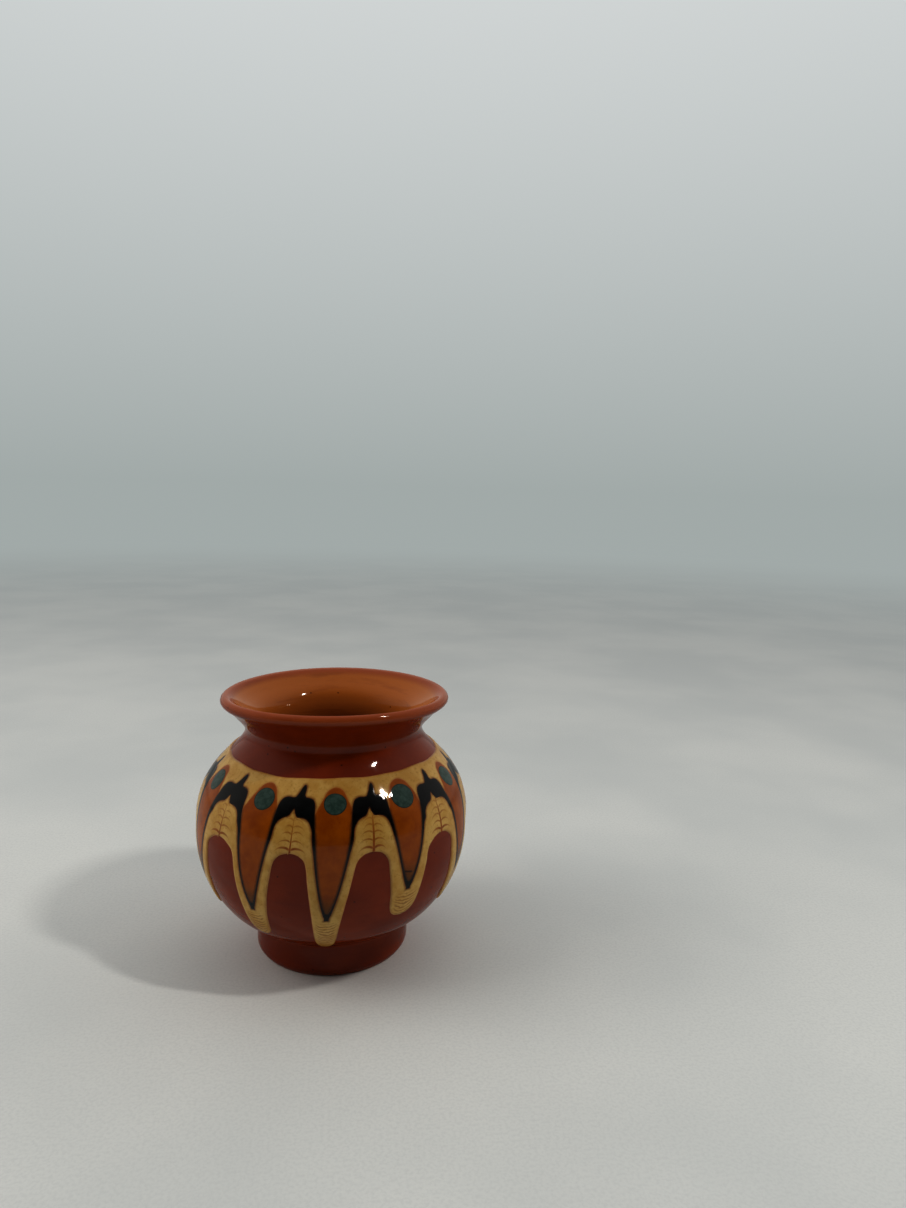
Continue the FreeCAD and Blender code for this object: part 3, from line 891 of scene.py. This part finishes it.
def feather(index):
    """The midrib and the barbs of one feather. Widths and strengths are pairs of lists: shares of a
    line's length, and the values there."""
    midrib = [(0.0, 0.603), (0.002, 0.66), (-0.002, 0.72), (-0.004, 0.785)]
    width = ([0, 0.15, 0.6, 1], [STEM_WIDTH * 1.5, STEM_WIDTH * 1.2, STEM_WIDTH, 0.2])
    strength = ([0, 0.2, 0.6, 1], [1.0, 1.0, 0.8, 0.25])
    lines = [drawn_line(in_window(index, midrib), width, strength, CREAM_LIFT)]
    rng = np.random.default_rng(FEATHER_SEED + index)
    for step, level in enumerate(BARB_LEVELS):
        reach = BARB_REACH - 0.012 * step
        strong = 1.0 if step == 0 else 0.85 - 0.11 * step
        for side in (-1, 1):
            sway = rng.uniform(-0.0035, 0.0035)
            longer = rng.uniform(0.85, 1.08)
            path = [
                (0.0, level),
                (side * 0.32 * reach * longer, level + 0.008 + 0.5 * sway),
                (side * 0.7 * reach * longer, level + 0.003 + sway),
                (side * reach * longer, level - 0.014 + sway),
            ]
            wide = BARB_WIDTH * (1.4 if step == 0 else 1.0)
            width = ([0, 0.4, 1], [wide, wide, 0.1])
            strength = ([0, 0.15, 0.6, 1], [0.6 * strong, strong, 0.7 * strong, 0.1])
            lines.append(drawn_line(in_window(index, path), width, strength, CREAM_LIFT - 0.002))
    return lines


for index in range(COUNT):
    number = "%02d" % (index + 1)
    points, faces, depths, powers = [], [], [], []
    for corners, quads, marks, power in feather(index):
        faces += (quads + sum(len(p) for p in points)).tolist()
        points.append(corners)
        depths.append(marks)
        powers.append(power)
    piece = make_mesh("rust_feather_" + number + "_drawn", np.vstack(points), faces, [rust])
    keep_marks(piece, {"depth": np.concatenate(depths), "strength": np.concatenate(powers)})
    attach(piece, "root")
    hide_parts("rust_feather_" + number)

# ---- The floor
# A plain pale floor of unbleached cotton, flat and matt, with a faint fibre. Far off it fades into
# the grey of the backdrop, so that no horizon line is seen.

cotton, tree = new_material("unbleached_cotton_plain_woven")
place = add(tree, "TexCoord").outputs["Object"]
cloud = noise(tree, place, 70.0, 3.0)
fibre = noise(tree, place, 0.5, 3.0)
colour = tint(tree, "D4DADD", "DEE3E5", ramp(tree, cloud, 0.3, 0.7))
colour = tint(tree, colour, "C8CED2", ramp(tree, fibre, 0.35, 0.75, 0.35))
away = add(tree, "VectorMath", {"operation": "LENGTH"}, {0: place})
shader = add(tree, "BsdfPrincipled", {"Roughness": 0.9, "Specular IOR Level": 0.1}, {"Base Color": colour})
haze = add(tree, "Emission", {"Color": linear("A2A8A7"), "Strength": 1.0})
both = add(tree, "MixShader", None, {
    0: ramp(tree, away.outputs["Value"], 0.22, 1.1), 1: shader.outputs[0], 2: haze.outputs[0]})
add(tree, "OutputMaterial", None, {"Surface": both.outputs[0]})

FLOOR_RADIUS = 4200.0
FLOOR_SIDES = 64
FLOOR_DROP = 0.05
turns = np.arange(FLOOR_SIDES) * 2.0 * math.pi / FLOOR_SIDES
rim = FLOOR_RADIUS * np.column_stack([np.cos(turns), np.sin(turns)])
rim = np.column_stack([rim, np.full(FLOOR_SIDES, -FLOOR_DROP)])
floor = make_mesh("floor", rim, [list(range(FLOOR_SIDES))], [cotton])

# ---- Light and camera
# A window high on the right is the key, and a soft fill lights the floor on the left. The room
# behind the camera is dark and pale walls stand behind, so the glaze is deep in front and bright
# along its sides.

WARM_DAYLIGHT = (1.0, 0.93, 0.84)
WINDOW_AZIMUTH = math.radians(61)
WINDOW_HEIGHT = math.radians(50)


def area_light(name, size, energy, place, aim):
    """A rectangular light at one place, turned towards another."""
    light = bpy.data.objects.new(name, bpy.data.lights.new(name, "AREA"))
    light.data.shape = "RECTANGLE"
    light.data.size, light.data.size_y = size
    light.data.energy = energy
    light.data.color = WARM_DAYLIGHT
    light.location = place
    light.rotation_mode = "QUATERNION"
    light.rotation_quaternion = (aim - place).to_track_quat("-Z", "Y")
    bpy.context.scene.collection.objects.link(light)
    return light


pot_middle = Vector((0.0, 0.0, 0.03))
to_window = Vector((
    math.sin(WINDOW_AZIMUTH) * math.cos(WINDOW_HEIGHT),
    -math.cos(WINDOW_AZIMUTH) * math.cos(WINDOW_HEIGHT),
    math.sin(WINDOW_HEIGHT),
))
area_light("window_light", (0.022, 0.055), 0.55, pot_middle + to_window * 0.5, pot_middle)
fill = area_light("soft_fill", (0.3, 0.3), 0.7, Vector((-0.42, -0.02, 0.34)), Vector((-0.13, 0.03, 0.0)))
fill.visible_glossy = False

world = bpy.data.worlds.new("studio")
bpy.context.scene.world = world
world.use_nodes = True
tree = world.node_tree
tree.nodes.clear()
# The glaze mirrors dark in front, pale behind and a warm band low down. The camera sees the backdrop.
way = add(tree, "TexCoord").outputs["Generated"]
axes = add(tree, "SeparateXYZ", None, {0: way})
back = ramp(tree, axes.outputs["Y"], -0.75, 0.25)
low = ramp(tree, axes.outputs["Z"], 0.20, -0.02)
walls = tint(tree, "141414", "7A6C5C", low)
walls = tint(tree, walls, "EAE8E4", back)
lit = add(tree, "Background", {"Strength": 0.72}, {"Color": walls})
rise = add(tree, "MapRange", {1: 0.0, 2: 0.46}, {0: axes.outputs["Z"]})
backdrop = tint(tree, "A2A8A7", "C3C6C6", rise.outputs[0])
seen = add(tree, "Background", {"Strength": 1.0}, {"Color": backdrop})
path = add(tree, "LightPath")
both = add(tree, "MixShader", None, {
    0: path.outputs["Is Camera Ray"], 1: lit.outputs[0], 2: seen.outputs[0]})
add(tree, "OutputWorld", None, {"Surface": both.outputs[0]})

CAMERA_PLACE = (0.0, -0.1582, 0.0879)
CAMERA_TURN = -7.92
CAMERA_DIP = 7.79
CAMERA_ROLL = 1.60

camera = bpy.data.objects.new("camera", bpy.data.cameras.new("camera"))
camera.data.sensor_width = 36.0
camera.data.lens = 25.33
camera.data.clip_start = 0.01
camera.data.clip_end = 20.0
facing = Matrix.Rotation(math.radians(CAMERA_TURN), 4, "Z")
tilt = Matrix.Rotation(math.radians(90.0 - CAMERA_DIP), 4, "X")
roll = Matrix.Rotation(math.radians(CAMERA_ROLL), 4, "Z")
camera.matrix_world = Matrix.Translation(CAMERA_PLACE) @ facing @ tilt @ roll
bpy.context.scene.collection.objects.link(camera)
bpy.context.scene.camera = camera
bpy.context.scene.view_settings.view_transform = "Standard"
bpy.context.scene.view_settings.exposure = 0.37
bpy.context.scene.view_settings.gamma = 0.74
